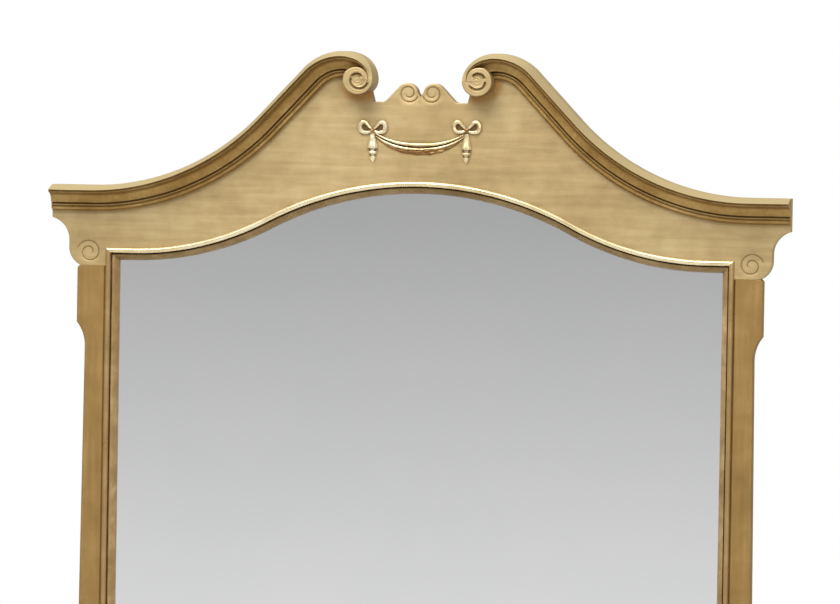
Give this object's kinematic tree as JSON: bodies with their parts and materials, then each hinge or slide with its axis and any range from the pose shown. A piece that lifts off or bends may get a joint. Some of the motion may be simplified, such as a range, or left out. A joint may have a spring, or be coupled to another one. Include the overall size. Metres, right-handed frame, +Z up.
{
  "type": "overmantel mirror",
  "caption": "Tall wall mirror in a gilded swan-neck frame, with an arched glass, scrolled pediment and applied swag, made to stand on a chimney shelf.",
  "frame": {"origin": "middle of the base, on the shelf that the frame stands on", "axes": "+X to the right as seen from the front, -Y out of the front towards the viewer, +Z up"},
  "size_m": [1.35, 0.09, 1.6975],
  "materials": {
    "gilt_board": "worn matt gilding over planed boards",
    "gilt_moulding": "toned gilding over a run moulding, worn on its edges",
    "gilt_ornament": "pressed composition, gilded and rubbed pale",
    "bright_bead": "burnished gilding",
    "slip_gilding": "brown-gold gilding over a run slip",
    "mirror_plate": "silvered plate glass, lightly aged",
    "back_wood": "raw sawn pine, darkened with age",
    "screw_steel": "dull oiled steel",
    "hanger_brass": "dull brass"
  },
  "bodies": {
    "mirror": {"pediment_board": "gilt_board", "left_jamb": "gilt_board", "right_jamb": "gilt_board", "bottom_rail": "gilt_board", "left_cornice": "gilt_moulding", "right_cornice": "gilt_moulding", "left_scroll": "gilt_moulding", "right_scroll": "gilt_moulding", "left_bow": "gilt_ornament", "right_bow": "gilt_ornament", "left_tassel": "gilt_ornament", "right_tassel": "gilt_ornament", "swag": "gilt_ornament", "bead_top": "bright_bead", "bead_left": "bright_bead", "bead_right": "bright_bead", "bead_bottom": "bright_bead", "slip_top": "slip_gilding", "slip_left": "slip_gilding", "slip_right": "slip_gilding", "slip_bottom": "slip_gilding", "mirror_glass": "mirror_plate", "setting_blocks": "back_wood", "back_stile_left": "back_wood", "back_stile_right": "back_wood", "back_top_rail": "back_wood", "back_bottom_rail": "back_wood", "pediment_battens": "back_wood", "backboard_1": "back_wood", "backboard_2": "back_wood", "backboard_3": "back_wood", "backboard_4": "back_wood", "backboard_5": "back_wood", "frame_screws": "screw_steel", "backboard_screws": "screw_steel", "left_hanger_strap": "hanger_brass", "right_hanger_strap": "hanger_brass", "hanger_screws": "screw_steel"},
    "left_ring": {"left_hanger_ring": "hanger_brass"},
    "right_ring": {"right_hanger_ring": "hanger_brass"}
  },
  "joints": [
    {"name": "left_ring_hinge", "type": "hinge", "parent": "mirror", "child": "left_ring", "pos_m": [-0.24, 0.0296, 1.572], "axis": [1, 0, 0], "range_deg": [0, 180]},
    {"name": "right_ring_hinge", "type": "hinge", "parent": "mirror", "child": "right_ring", "pos_m": [0.24, 0.0296, 1.572], "axis": [1, 0, 0], "range_deg": [0, 180]}
  ]
}
